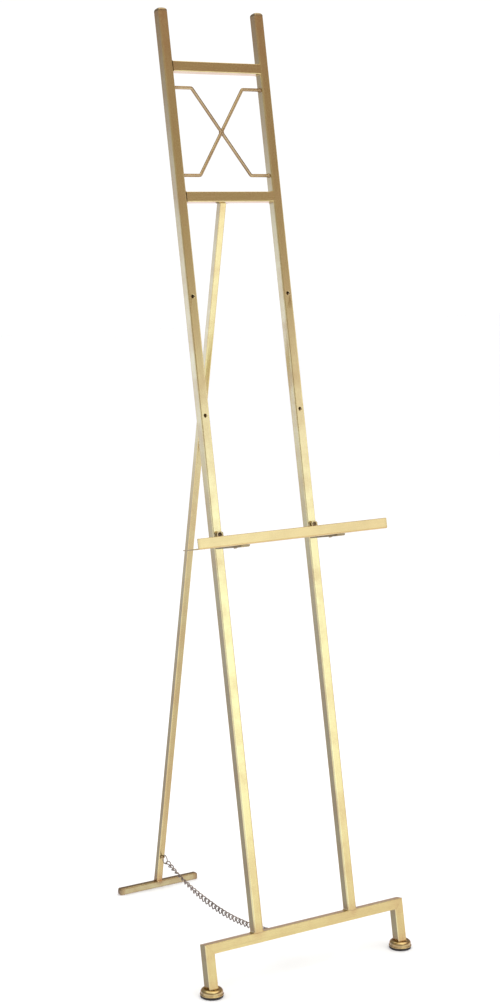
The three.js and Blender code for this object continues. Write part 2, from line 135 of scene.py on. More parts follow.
# ------------------------------------------------------------------ node materials
class Nodes:
    """A short way to write a node tree: add() makes a node and links or sets its inputs."""

    def __init__(self, tree):
        self.tree = tree
        tree.nodes.clear()

    def add(self, kind, inputs=None, **settings):
        node = self.tree.nodes.new(kind)
        for key, value in settings.items():
            setattr(node, key, value)
        for key, value in (inputs or {}).items():
            if isinstance(value, bpy.types.NodeSocket):
                self.tree.links.new(value, node.inputs[key])
            else:
                node.inputs[key].default_value = value
        return node

    def math(self, operation, first, second=0.0, clamp=False):
        both = {0: first, 1: second}
        return self.add("ShaderNodeMath", both, operation=operation, use_clamp=clamp).outputs[0]

    def mix(self, factor, first, second, blend="MIX"):
        both = {"Factor": factor, "A": first, "B": second}
        node = self.tree.nodes.new("ShaderNodeMix")
        node.data_type = "RGBA"
        node.blend_type = blend
        for key, value in both.items():
            kind = "VALUE" if key == "Factor" else "RGBA"
            socket = next(s for s in node.inputs if s.name == key and s.type == kind)
            if isinstance(value, bpy.types.NodeSocket):
                self.tree.links.new(value, socket)
            else:
                socket.default_value = value
        return next(s for s in node.outputs if s.type == "RGBA")

    def noise(self, vector, scale, detail=3.0, rough=0.55):
        inputs = {"Vector": vector, "Scale": scale, "Detail": detail, "Roughness": rough}
        return self.add("ShaderNodeTexNoise", inputs).outputs["Fac"]

    def ramp(self, value, stops, interpolation="LINEAR"):
        node = self.add("ShaderNodeValToRGB", {"Fac": value})
        bar = node.color_ramp
        bar.interpolation = interpolation
        while len(bar.elements) < len(stops):
            bar.elements.new(1.0)
        for element, (place, color) in zip(bar.elements, stops):
            element.position = place
            shade = (color,) * 3 if isinstance(color, (int, float)) else color
            element.color = (*shade, 1.0)
        return node.outputs["Color"]


def rgba(color):
    return (*color, 1.0)


# The grain's scale along X, Y and Z: drawn tubes have long fine lines, cast pieces have none.
GRAIN = {"along": (900.0, 900.0, 14.0), "across": (14.0, 900.0, 900.0), "round": (300.0,) * 3}
PITTING = 0.15


def metal(name, clean, aged_and_shaded, rough=0.125, grain="along", wear=0.35, lean=0.0):
    """Drawn and lacquered metal: fine grain along the piece, cloudy patina, small dark pits.
    A mesh attribute is 1 where the piece is stained, as at welds and ends, and where shade is
    painted in, as on the strap's arm under the tray."""
    material = bpy.data.materials.new(name)
    material.use_nodes = True
    n = Nodes(material.node_tree)
    spot = n.add("ShaderNodeTexCoord").outputs["Object"]
    age_and_shade = n.add("ShaderNodeAttribute", attribute_name="age_and_shade").outputs["Fac"]
    turned = n.add("ShaderNodeMapping", {"Vector": spot, "Rotation": (lean, 0.0, 0.0)})
    stretched = {"Vector": turned.outputs[0], "Scale": GRAIN[grain]}
    fine = n.add("ShaderNodeMapping", stretched).outputs[0]
    lines = n.noise(fine, 1.0, 4.0, 0.6)
    clouds = n.noise(spot, 21.0, 5.0, 0.62)
    stains = n.noise(spot, 120.0, 4.0, 0.65)
    specks = n.noise(spot, 760.0, 2.0, 0.5)

    cloudy = n.ramp(clouds, [(0.42, 0.0), (0.72, 1.0)])
    worn = n.math("MULTIPLY", cloudy, wear)
    ragged = n.ramp(stains, [(0.25, 0.35), (0.7, 1.0)])
    aging_and_shade = n.math("MULTIPLY", age_and_shade, ragged)
    patina_and_shade = n.math("ADD", worn, aging_and_shade, clamp=True)
    color = n.mix(patina_and_shade, rgba(clean), rgba(aged_and_shaded))
    pit = n.ramp(specks, [(0.66, 0.0), (0.74, 1.0)])
    pitted = n.math("ADD", n.math("MULTIPLY", age_and_shade, 0.6), PITTING, True)
    pit_amount = n.math("MULTIPLY", pit, pitted)
    color = n.mix(pit_amount, color, rgba([0.35 * c for c in aged_and_shaded]))
    streak = n.ramp(lines, [(0.3, 0.93), (0.7, 1.0)])
    color = n.mix(1.0, color, streak, "MULTIPLY")

    shine = n.math("ADD", rough, n.math("MULTIPLY", patina_and_shade, 0.14))
    shine = n.math("ADD", shine, n.math("MULTIPLY", lines, 0.07))
    height = n.math("ADD", n.math("MULTIPLY", lines, 0.4), n.math("MULTIPLY", stains, 0.7))
    height = n.math("SUBTRACT", height, n.math("MULTIPLY", pit_amount, 1.5))
    bump_in = {"Strength": 0.5, "Distance": 0.00002, "Height": height}
    bump = n.add("ShaderNodeBump", bump_in).outputs[0]
    shader_in = {"Base Color": color, "Metallic": 1.0, "Roughness": shine, "Normal": bump}
    shader = n.add("ShaderNodeBsdfPrincipled", shader_in)
    n.add("ShaderNodeOutputMaterial", {"Surface": shader.outputs[0]})
    return material


def rubber(name):
    """Dark moulded rubber with a faint mottle and dust near the floor."""
    material = bpy.data.materials.new(name)
    material.use_nodes = True
    n = Nodes(material.node_tree)
    spot = n.add("ShaderNodeTexCoord").outputs["Object"]
    mottle = n.noise(spot, 420.0, 4.0, 0.6)
    dust = n.noise(spot, 60.0, 3.0, 0.6)
    dusty = n.ramp(dust, [(0.45, 0.0), (0.8, 0.5)])
    color = n.mix(dusty, rgba((0.018, 0.015, 0.013)), rgba((0.07, 0.06, 0.05)))
    shine = n.math("ADD", 0.55, n.math("MULTIPLY", mottle, 0.3))
    bump = n.add("ShaderNodeBump", {"Strength": 0.6, "Distance": 0.0001, "Height": mottle}).outputs[0]
    shader_in = {"Base Color": color, "Roughness": shine, "Normal": bump}
    shader = n.add("ShaderNodeBsdfPrincipled", shader_in)
    n.add("ShaderNodeOutputMaterial", {"Surface": shader.outputs[0]})
    return material


BRASS = (0.70, 0.62, 0.31)
BRASS_AGED = (0.50, 0.30, 0.135)
BRONZE = (0.37, 0.32, 0.275)
BRONZE_AGED = (0.075, 0.055, 0.045)

UP_BRASS = metal("brass_up_the_frame", BRASS, BRASS_AGED, lean=LEAN)
ACROSS_BRASS = metal("brass_across", BRASS, BRASS_AGED, grain="across", lean=LEAN)
LEG_BRASS = metal("brass_down_the_leg", BRASS, BRASS_AGED, lean=-LEG_TILT, wear=0.4)
# Painted shade: the foot bar's brass is a darker copy of the frame's brass, for the dim reflections it
# takes low on the floor.
BAR_BRASS_SHADED = metal(
    "brass_foot_bar_shaded", (0.4, 0.33, 0.175), (0.3, 0.18, 0.09), rough=0.16, grain="across", wear=0.5,
)
CAST_BRASS = metal(
    "brass_ferrule", (0.5, 0.4, 0.19), (0.30, 0.17, 0.08), rough=0.13, grain="round", wear=0.45,
)
ROD_BRASS = metal(
    "brass_rod", (0.46, 0.36, 0.2), (0.3, 0.19, 0.1), rough=0.2, grain="round", wear=0.55,
)
TRAY_BRASS = metal(
    "brass_tray", (0.625, 0.495, 0.23), (0.5, 0.4, 0.19), rough=0.14, grain="across", wear=0.25,
    lean=LEAN,
)
# The strap's darkest colour stains the ears' roots and the ring round the peg's head, and is painted
# shade on the arm under the tray.
STRAP_BRASS = metal(
    "brass_strap", (0.5, 0.42, 0.2), (0.13, 0.095, 0.045), rough=0.2, grain="round", wear=0.5,
)
PEG_BRASS = metal(
    "brass_peg", (0.66, 0.56, 0.3), BRONZE_AGED, rough=0.14, grain="round", wear=0.3,
)
CAP_BRASS = metal(
    "brass_cap", (0.42, 0.35, 0.2), (0.27, 0.19, 0.1), rough=0.24, grain="round", wear=0.5,
)
FITTING = metal(
    "brass_fitting", (0.42, 0.3, 0.16), (0.12, 0.08, 0.05), rough=0.28, grain="round", wear=0.6,
)
CHAIN_METAL = metal("chain_bronze", BRONZE, BRONZE_AGED, rough=0.3, grain="round", wear=0.7)
RING_METAL = metal(
    "ring_steel_bronze", (0.34, 0.3, 0.25), BRONZE_AGED, rough=0.22, grain="round", wear=0.4,
)
PAD_RUBBER = rubber("glide_rubber")


# ------------------------------------------------------------------ mesh building
class Shape:
    """Vertices and faces in millimetres."""

    def __init__(self):
        self.verts = []
        self.faces = []

    def add(self, verts, faces):
        start = len(self.verts)
        self.verts += [Vector(v) for v in verts]
        self.faces += [tuple(i + start for i in face) for face in faces]
        return self

    def join(self, *others):
        for other in others:
            self.add(other.verts, other.faces)
        return self

    def moved(self, matrix):
        done = Shape()
        return done.add([matrix @ v for v in self.verts], self.faces)


def loft(rings, round_the_end=False):
    """A closed skin through rings of as many points each, with a cap on each end ring."""
    shape = Shape()
    count = len(rings[0])
    verts = [point for ring in rings for point in ring]
    faces = []
    spans = len(rings) if round_the_end else len(rings) - 1
    for i in range(spans):
        a, b = i * count, ((i + 1) % len(rings)) * count
        for k in range(count):
            m = (k + 1) % count
            faces.append((a + k, a + m, b + m, b + k))
    if not round_the_end:
        faces.append(tuple(range(count)))
        faces.append(tuple(range(len(verts) - count, len(verts))))
    return shape.add(verts, faces)


def rounded_square(half, corner, arc_steps=5, half_b=None):
    """Outline of a square section. A point just inside each corner keeps the flats flat."""
    half_b = half if half_b is None else half_b
    points = []
    turns = [math.pi / 2 * k / arc_steps for k in range(arc_steps + 1)]
    quarter = [(1.0, -0.15)] + [(math.cos(t), math.sin(t)) for t in turns] + [(-0.15, 1.0)]
    for turn, (sa, sb) in enumerate(((1, 1), (-1, 1), (-1, -1), (1, -1))):
        centre_a = sa * (half - corner)
        centre_b = sb * (half_b - corner)
        for ca, cb in quarter:
            for _ in range(turn):
                ca, cb = -cb, ca
            points.append((centre_a + corner * ca, centre_b + corner * cb))
    return points


def tube(side, corner, stations, wall=None):
    """A square tube along Z. A station is a height, or a function of the section's (a, b)."""
    half = side / 2

    def ring(station, inset, radius):
        outline = rounded_square(half - inset, radius)
        height = station if callable(station) else (lambda a, b: station)
        return [(a, b, height(a, b)) for a, b in outline]

    rings = [ring(station, 0.0, corner) for station in stations]
    if wall is None:
        return loft(rings)
    inner_corner = max(corner - wall, 0.7)
    inner = [ring(station, wall, inner_corner) for station in (stations[-1], stations[0])]
    return loft(rings + inner, round_the_end=True)


def dome(side, corner, rise, shoulder, sink):
    """A square end cap: a short stem, rounded shoulders and a flat top."""
    half = side / 2
    rings = []
    for height, inset in ((-sink, 1.6), (0.0, 1.6), (0.0, 0.0)):
        rings.append([(a, b, height) for a, b in rounded_square(half - inset, corner)])
    arc_steps = 9
    for k in range(1, arc_steps + 1):
        turn = math.pi / 2 * k / arc_steps
        inset = shoulder * (1 - math.cos(turn))
        radius = min(corner + inset * 0.5, half - inset - 0.3)
        height = rise * (0.12 + 0.88 * math.sin(turn))
        rings.append([(a, b, height) for a, b in rounded_square(half - inset, radius)])
    top = rings[-1]
    for shrink in (0.6, 0.2):
        rings.append([(a * shrink, b * shrink, rise) for a, b, _ in top])
    return loft(rings)


def lathe(profile, sides=48):
    """A piece turned about Z from (radius, height) points. Ends off the axis are capped flat."""
    rings = []
    for radius, height in profile:
        turns = [2 * math.pi * k / sides for k in range(sides)]
        rings.append([(radius * math.cos(t), radius * math.sin(t), height) for t in turns])
    return loft(rings)


def sweep(points, radius, sides=16, closed=False):
    """A wire along points. radius is a number or a function of the station's index."""
    points = [Vector(p) for p in points]
    count = len(points)
    width = radius if callable(radius) else (lambda i: radius)
    tangents = []
    for i in range(count):
        before = points[(i - 1) % count] if closed or i else points[0]
        after = points[(i + 1) % count] if closed or i < count - 1 else points[-1]
        tangents.append((after - before).normalized())
    side = tangents[0].orthogonal().normalized()
    frames = []
    for tangent in tangents:
        side = (side - tangent * side.dot(tangent)).normalized()
        frames.append((side.copy(), tangent.cross(side)))
    twist = 0.0
    if closed:
        last, first = frames[-1], frames[0]
        carried = (last[0] - tangents[0] * last[0].dot(tangents[0])).normalized()
        twist = math.atan2(carried.dot(first[1]), carried.dot(first[0]))
    rings = []
    for i, point in enumerate(points):
        u, v = frames[i]
        back = -twist * i / count
        ring = []
        for k in range(sides):
            t = 2 * math.pi * k / sides + back
            ring.append(point + (u * math.cos(t) + v * math.sin(t)) * width(i))
        rings.append(ring)
    return loft(rings, round_the_end=closed)


def extrude(outline, x0, x1, bevel):
    """An outline of (y, z) points between two x positions, its edges eased by the bevel."""
    centre = Vector((sum(p[0] for p in outline), sum(p[1] for p in outline))) / len(outline)

    def ring(x, inset):
        points = []
        for y, z in outline:
            reach = Vector((y, z)) - centre
            keep = max(reach.length - inset, 0.1) / max(reach.length, 0.1)
            points.append((x, centre.x + reach.x * keep, centre.y + reach.y * keep))
        return points

    return loft([ring(x0, bevel), ring(x0 + bevel, 0), ring(x1 - bevel, 0), ring(x1, bevel)])


def fillet(x_leg, z_leg, size, seed):
    """A weld in the corner between two frame tubes: a concave bead along Y, a little uneven."""
    rings = []
    count = 15
    for i in range(count):
        y = WELD_END + (TUBE - 2 * WELD_END) * i / (count - 1)
        end = min(i, count - 1 - i)
        reach = size * (0.45 if end == 0 else 1.0) * (1 + 0.13 * math.sin(2.1 * i + seed))
        ring = [(-0.3 * x_leg, y, -0.3 * z_leg), (reach * x_leg, y, -0.3 * z_leg)]
        for k in range(5):
            t = math.pi / 2 * k / 4
            across = reach * x_leg * (1 - math.sin(t) * 0.93)
            up = reach * z_leg * (1 - math.cos(t) * 0.93)
            ring.append((across, y, up))
        ring.append((-0.3 * x_leg, y, reach * z_leg))
        rings.append(ring)
    return loft(rings)


def mesh_object(name, shape, axes, sharp):
    """An object with the shape in the row frame, in metres, faces out and edges marked."""
    mesh = bpy.data.meshes.new(name)
    mesh.from_pydata([(axes @ v) * MM for v in shape.verts], [], shape.faces)
    mesh.validate()
    kit = bmesh.new()
    kit.from_mesh(mesh)
    bmesh.ops.recalc_face_normals(kit, faces=kit.faces)
    kit.to_mesh(mesh)
    kit.free()
    obj = bpy.data.objects.new(name, mesh)
    bpy.context.scene.collection.objects.link(obj)
    shade(mesh, sharp)
    return obj


def shade(mesh, sharp):
    mesh.polygons.foreach_set("use_smooth", [True] * len(mesh.polygons))
    mesh.set_sharp_from_angle(angle=math.radians(sharp))


def carve(obj, axes, tools, sharp):
    """Cuts each tool shape out of the object."""
    for number, tool in enumerate(tools):
        cutter = mesh_object(f"cutter_{number}", tool, axes, sharp)
        modifier = obj.modifiers.new("cut", "BOOLEAN")
        modifier.operation = "DIFFERENCE"
        modifier.solver = "EXACT"
        modifier.object = cutter
        graph = bpy.context.evaluated_depsgraph_get()
        cut_mesh = bpy.data.meshes.new_from_object(obj.evaluated_get(graph))
        obj.modifiers.clear()
        obj.data = cut_mesh
        bpy.data.objects.remove(cutter)
    shade(obj.data, sharp)


def age_and_shade_by(obj, axes, rule):
    """Stores the mesh attribute for stains and painted shade from a rule of the local point in
    millimetres.
    """
    back = axes.inverted()
    values = []
    for vert in obj.data.vertices:
        values.append(max(0.0, min(1.0, rule(back @ (vert.co / MM)))))
    attribute = obj.data.attributes.new("age_and_shade", "FLOAT", "POINT")
    attribute.data.foreach_set("value", values)


def piece(name, shape, axes, material, body, nodes, age_and_shade=None, cuts=(), sharp=34):
    """Makes a finished piece: mesh, material, body, and the CAD nodes it stands for."""
    obj = mesh_object(name, shape, axes, sharp)
    if cuts:
        carve(obj, axes, cuts, sharp)
    age_and_shade_by(obj, axes, age_and_shade or (lambda point: 0.0))
    obj.data.materials.clear()
    obj.data.materials.append(material)
    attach(obj, body)
    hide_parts(*nodes)
    return obj


def near(distance, reach):
    """1 at distance 0, falling to 0 at reach."""
    return max(0.0, 1.0 - abs(distance) / reach)


def place(x=0.0, y=0.0, z=0.0):
    return Matrix.Translation((x, y, z))


def steps(start, end, pitch):
    count = max(1, round((end - start) / pitch))
    return [start + (end - start) * k / count for k in range(count + 1)]


SIDES = (("left", -1), ("right", 1))
ALONG_X = Matrix.Rotation(math.pi / 2, 4, "Y")
ALONG_Y = Matrix.Rotation(-math.pi / 2, 4, "X")
HALF = TUBE / 2
BASE_TOP = BASE_RAIL_S + HALF
INNER_X = UPRIGHT_X - HALF


# ------------------------------------------------------------------ front frame
def upright_age(point):
    top = near(point.z - UPRIGHT_TOP, 120) * 0.75
    foot = near(point.z - BASE_TOP, 20) * 0.5
    rails = max(near(point.z - s, 15) for s in (TOP_RAIL_S, MID_RAIL_S)) * 0.25
    return max(top, foot, rails)


def peg_drill(x, s):
    """The hole through both walls of an upright, its edges eased at the front and back."""
    front = [(PEG_HOLE_R + 1.05, -1.2), (PEG_HOLE_R + 0.5, 0.0), (PEG_HOLE_R, 0.5)]
    back = [(r, TUBE - y) for r, y in reversed(front)]
    return lathe(front + back, 28).moved(place(x, 0, s) @ ALONG_Y)


def make_upright(name, side):
    x = side * UPRIGHT_X
    stations = steps(BASE_TOP + 0.3, BASE_TOP + 40, 5) + steps(BASE_TOP + 60, MID_RAIL_S - 25, 45)
    stations += steps(MID_RAIL_S - 20, MID_RAIL_S + 20, 5)
    stations += steps(MID_RAIL_S + 50, TOP_RAIL_S - 24, 31)
    stations += steps(TOP_RAIL_S - 19, TOP_RAIL_S + 21, 5) + steps(TOP_RAIL_S + 33, UPRIGHT_TOP, 8)
    shape = tube(TUBE, TUBE_CORNER, stations, WALL).moved(place(x, HALF))
    drills = [peg_drill(x, s) for s in PEG_HOLES_S]
    piece(
        f"tube_upright_{name}", shape, ON_FRAME, UP_BRASS, "front_frame",
        [f"upright_{name}"], upright_age, drills,
    )
    cap = dome(TUBE, TUBE_CORNER, CAP_RISE, 4.6, 9).moved(place(x, HALF, UPRIGHT_TOP))
    piece(
        f"plug_upright_{name}", cap, ON_FRAME, CAP_BRASS, "front_frame",
        [f"upright_cap_{name}"], lambda point: 0.3,
    )


def rail_welds(s):
    beads = Shape()
    for side in (-1, 1):
        for up in (-1, 1):
            bead = fillet(-side, up, 1.8, seed=s + side + 2 * up)
            beads.join(bead.moved(place(side * INNER_X, 0, s + up * HALF)))
    return beads


def make_rail(name, s):
    reach = INNER_X - TOUCH
    stations = steps(-reach, -reach + 16, 4) + steps(-60, 60, 24) + steps(reach - 16, reach, 4)
    shape = tube(TUBE, RAIL_CORNER, stations, WALL).moved(place(0, HALF, s) @ ALONG_X)
    shape.join(rail_welds(s))
    rule = lambda point: near(abs(point.x) - INNER_X, 12) * 0.35
    piece(f"tube_{name}", shape, ON_FRAME, ACROSS_BRASS, "front_frame", [name], rule)


def base_age(point):
    weld = near(abs(point.x) - UPRIGHT_X, 16) * 0.55 * (point.z > BASE_RAIL_S)
    corner = near(abs(point.x) - (BASE_HALF - HALF), 22) * 0.5
    return max(weld, corner)


def make_base_rail():
    """The rail's ends are mitred: each point of the section ends where the 45 degree cut is."""
    def mitre(side):
        return lambda a, b: side * (BASE_HALF - TOUCH - (HALF + a))

    middle = steps(-185, -120, 8) + steps(-112, -84, 4) + steps(-60, 60, 30)
    middle += steps(84, 112, 4) + steps(120, 185, 8)
    stations = [mitre(-1)] + middle + [mitre(1)]
    shape = tube(TUBE, RAIL_CORNER, stations, WALL)
    shape = shape.moved(place(0, HALF, BASE_RAIL_S) @ ALONG_X)
    for side in (-1, 1):
        for face in (-1, 1):
            x = side * UPRIGHT_X + face * HALF
            bead = fillet(face, 1, 2.4, seed=x)
            shape.join(bead.moved(place(x, 0, BASE_TOP)))
        x = side * UPRIGHT_X
        front_seam = [(x + edge, 1.2, BASE_TOP - 0.1) for edge in (-7.6, 7.6)]
        shape.join(weld_line(*front_seam, 1.15))
    piece(
        "tube_base_rail", shape, ON_FRAME, ACROSS_BRASS, "front_frame",
        ["base_rail"], base_age,
    )


def level_end(axes, height):
    """For a tube along its local Z in the row frame: where it meets a level height."""
    rise = axes.col[2].z

    def at(x, y):
        return (height - axes.translation.z - axes.col[0].z * x - axes.col[1].z * y) / rise

    return at


def make_stub(name, side):
    x = side * (BASE_HALF - HALF)
    floor_cut = level_end(ON_FRAME, 13.6)
    low = lambda a, b: floor_cut(x + a, HALF + b)
    high = lambda a, b: BASE_TOP - TOUCH - (HALF - side * a)
    stations = [low] + steps(30, 68, 6) + [high]
    shape = tube(TUBE, RAIL_CORNER, stations, WALL).moved(place(x, HALF))
    inner = fillet(-side, -1, 1.8, seed=side)
    shape.join(inner.moved(place(side * (BASE_HALF - TUBE), 0, BASE_RAIL_S - HALF)))
    rule = lambda point: max(near(point.z - 18, 16) * 0.9, near(point.z - 76, 14) * 0.45)
    piece(
        f"tube_stub_{name}", shape, ON_FRAME, UP_BRASS, "front_frame",
        [f"stub_leg_{name}"], rule,
    )


FOOT_PROFILE = [
    (6.0, 4.1), (18.8, 4.1), (20.0, 4.3), (20.6, 4.8), (20.7, 5.5), (20.45, 6.1), (19.8, 6.6),
    (19.2, 6.9), (19.1, 7.4), (19.5, 8.4), (19.6, 9.7), (19.3, 11.0), (18.6, 12.3), (17.5, 13.5),
    (16.2, 14.4), (14.9, 14.9), (13.9, 15.0), (13.1, 14.8), (12.5, 14.2), (12.0, 13.5), (6.0, 13.2),
]
PAD_PROFILE = [
    (4.0, 0.0), (18.0, 0.0), (19.4, 0.5), (20.0, 1.5), (20.0, 3.3), (19.5, 4.0), (4.0, 4.05),
]


def make_foot(name, side):
    axes = ON_FLOOR @ place(side * (BASE_HALF - HALF), FOOT_Y)
    rule = lambda point: 0.85 * near(point.to_2d().length - 12, 5) * (point.z > 11)
    shape = lathe(FOOT_PROFILE, 72)
    for k in range(5):
        turn = 0.7 + 1.26 * k + side
        lump = lathe([(0.4, 0.0), (1.3, 0.25), (1.5, 0.8), (1.0, 1.4), (0.4, 1.6)], 14)
        spot = place(11.6 * math.cos(turn), 11.6 * math.sin(turn), 13.2)
        shape.join(lump.moved(spot @ Matrix.Rotation(0.4, 4, "X")))
    piece(
        f"ferrule_{name}", shape, axes, CAST_BRASS, "front_frame",
        [f"foot_{name}"], rule,
    )
    piece(
        f"glide_{name}", lathe(PAD_PROFILE, 64), axes, PAD_RUBBER, "front_frame",
        [f"foot_pad_{name}"],
    )


# ------------------------------------------------------------------ lattice
def rounded_route(corners, bend, arc_steps=7, pitch=12.0):
    """Points along a route of straight runs whose corners are rounded to the bend radius."""
    corners = [Vector(c) for c in corners]
    turns = [[corners[0]]]
    for before, here, after in zip(corners, corners[1:], corners[2:]):
        back = (before - here).normalized()
        on = (after - here).normalized()
        reach = bend / math.tan(back.angle(on) / 2)
        start, end = here + back * reach, here + on * reach
        arc = []
        for k in range(arc_steps + 1):
            t = k / arc_steps
            arc.append(start * (1 - t) ** 2 + here * 2 * t * (1 - t) + end * t * t)
        turns.append(arc)
    turns.append([corners[-1]])
    points = []
    for arc, following in zip(turns, turns[1:]):
        points += arc
        gap = following[0] - arc[-1]
        count = int(gap.length // pitch)
        points += [arc[-1] + gap * (k / (count + 1)) for k in range(1, count + 1)]
    return points + turns[-1]


def flared(points, radius, ends):
    """Adds stations close to the chosen ends and a radius rule that flares there, as a weld."""
    flare = [(0.0, 1.45), (0.5, 1.28), (1.2, 1.12), (2.2, 1.04), (3.4, 1.0)]
    points = [Vector(p) for p in points]
    scale = {}
    if "start" in ends:
        on = (points[1] - points[0]).normalized()
        points = [points[0] + on * d for d, _ in flare] + points[1:]
        scale.update({i: k for i, (_, k) in enumerate(flare)})
    if "end" in ends:
        on = (points[-2] - points[-1]).normalized()
        points = points[:-1] + [points[-1] + on * d for d, _ in reversed(flare)]
        scale.update({len(points) - 1 - i: k for i, (_, k) in enumerate(flare)})
    return points, lambda i: radius * scale.get(i, 1.0)


def make_lattice():
    end = INNER_X - TOUCH
    at = lambda x, s: (x, HALF, s)
    middle = at(0, (LATTICE_TOP_S + LATTICE_LOW_S) / 2)
    bend = LATTICE_BEND_X
    left_top = [at(-end, LATTICE_TOP_S), at(-bend, LATTICE_TOP_S)]
    right_top = [at(end, LATTICE_TOP_S), at(bend, LATTICE_TOP_S)]
    left_low = [at(-end, LATTICE_LOW_S), at(-bend, LATTICE_LOW_S)]
    right_low = [at(bend, LATTICE_LOW_S), at(end, LATTICE_LOW_S)]
    routes = {
        "long": (left_top + right_low, ("start", "end")),
        "upper": (right_top + [middle], ("start",)),
        "lower": (left_low + [middle], ("start",)),
    }

    def rule(p):
        crossing = near(math.hypot(p.x, p.z - middle[2]), 8)
        return 0.55 * max(near(abs(p.x) - INNER_X, 7), crossing)

    for name, (corners, ends) in routes.items():
        points, radius = flared(rounded_route(corners, 4.5), ROD_R, ends)
        shape = sweep(points, radius, 20)
        if name == "long":
            for turn in (0.0, math.pi):
                bead = lathe([(0.4, -2.6), (2.2, -1.9), (3.5, 0), (2.2, 1.9), (0.4, 2.6)], 18)
                spot = place(0, HALF, middle[2]) @ Matrix.Rotation(turn, 4, "Y") @ place(3.1)
                shape.join(bead.moved(spot @ Matrix.Diagonal((0.6, 0.8, 1.0, 1.0))))
        piece(
            f"rod_{name}", shape, ON_FRAME, ROD_BRASS, "front_frame",
            [f"lattice_rod_{name}"], rule, sharp=50,
        )


# ------------------------------------------------------------------ hinge
def hex_profile(radius, x0, x1):
    """A hexagon along X with its corners turned off at both ends."""
    def ring(x, r):
        return [(x, r * math.cos(math.pi / 3 * k), r * math.sin(math.pi / 3 * k)) for k in range(6)]

    blunt = radius * 0.88
    return loft([ring(x0, blunt), ring(x0 + 0.5, radius), ring(x1 - 0.5, radius), ring(x1, blunt)])


def ear_outline():
    root = TUBE + TOUCH
    turns = [-math.pi / 2 + math.pi * k / 14 for k in range(1, 14)]
    nose = [(HINGE_N + EAR_R * math.cos(t), EAR_R * math.sin(t)) for t in turns]
    low = [(root, -EAR_HALF_HEIGHT), (HINGE_N, -EAR_R)]
    return low + nose + [(HINGE_N, EAR_R), (root, EAR_HALF_HEIGHT)]


def make_hinge():
    lift = place(0, 0, MID_RAIL_S)
    at_bolt = place(0, HINGE_N, MID_RAIL_S)
    bore = lathe([(BOLT_BORE_R, -20), (BOLT_BORE_R, 20)], 28).moved(at_bolt @ ALONG_X)
    for name, side in SIDES:
        from_x, to_x = sorted(side * x for x in EAR_X)
        ear = extrude(ear_outline(), from_x, to_x, 0.35).moved(lift)
        for x in (from_x, to_x):
            bead = weld_line((x, TUBE + 0.2, -EAR_R), (x, TUBE + 0.2, EAR_R), 1.1)
            ear.join(bead.moved(lift))
        piece(
            f"ear_{name}", ear, ON_FRAME, STRAP_BRASS, "front_frame",
            [f"hinge_ear_{name}"], lambda p: near(p.y - TUBE, 5), [bore],
        )
        from_x, to_x = sorted(side * x for x in WASHER_X)
        profile = [
            (WASHER_R - 0.5, from_x), (WASHER_R, from_x + 0.3), (WASHER_R, to_x - 0.3),
            (WASHER_R - 0.5, to_x),
        ]
        washer = lathe(profile, 32).moved(at_bolt @ ALONG_X)
        piece(
            f"washer_{name}", washer, ON_FRAME, FITTING, "front_frame",
            [f"hinge_washer_{name}"], lambda p: 0.3, [bore],
        )
    thread = [(BOLT_R - 0.35 * (k % 2), 11.2 + 0.35 * k) for k in range(14)]
    shaft = [(2.6, -11.3), (BOLT_R, -11.0)] + thread + [(2.4, 16.1)]
    bolt = lathe(shaft, 28).moved(ALONG_X)
    bolt.join(hex_profile(5.6, -15.2, -11.25))
    piece(
        "bolt_hinge", bolt.moved(at_bolt), ON_FRAME, FITTING, "front_frame",
        ["hinge_bolt"], lambda p: 0.2,
    )
    nut = hex_profile(5.6, 11.25, 15.6).moved(at_bolt)
    piece(
        "nut_hinge", nut, ON_FRAME, FITTING, "front_frame", ["hinge_nut"],
        lambda p: 0.25, [bore],
    )


def weld_line(start, end, radius):
    """A round weld bead along a line, rippled by its passes, with rounded ends."""
    start, end = Vector(start), Vector(end)
    count = max(8, int((end - start).length / 0.8))
    points = [start + (end - start) * k / count for k in range(count + 1)]

    def width(i):
        taper = min(1.0, (min(i, count - i) + 0.35) / 2.5)
        return radius * math.sqrt(taper) * (1 + 0.1 * math.sin(2.4 * i))

    return sweep(points, width, 12)


# ------------------------------------------------------------------ rear leg
def make_rear_leg():
    half = LEG_TUBE / 2
    end = level_end(ON_LEG, LEG_TUBE + TOUCH)
    stations = [end] + steps(-1345, -1320, 5) + steps(-1280, -60, 61)
    stations += steps(-40, LEG_ABOVE_PIVOT, 8)
    shape = tube(LEG_TUBE, LEG_CORNER, stations, LEG_WALL)
    bore = lathe([(BOLT_BORE_R, -20), (BOLT_BORE_R, 20)], 28).moved(ALONG_X)
    rule = lambda p: max(near(p.z + LEG_DROP, 26), near(p.z - LEG_ABOVE_PIVOT, 60) * 0.5)
    for face in (-1, 1):
        spot = place(0, face * half, end(0, face * half))
        bead = weld_line((-half + 0.6, 0.15 * face, 0.3), (half - 0.6, 0.15 * face, 0.3), 1.2)
        shape.join(bead.moved(spot))
    piece(
        "tube_rear_leg", shape, ON_LEG, LEG_BRASS, "rear_leg", ["rear_leg"], rule,
        [bore],
    )
    plug = dome(LEG_TUBE, LEG_CORNER, 2.0, 2.2, 4).moved(place(0, 0, LEG_ABOVE_PIVOT))
    piece(
        "plug_rear_leg", plug, ON_LEG, CAP_BRASS, "rear_leg", ["rear_leg_plug"],
        lambda p: 0.3,
    )


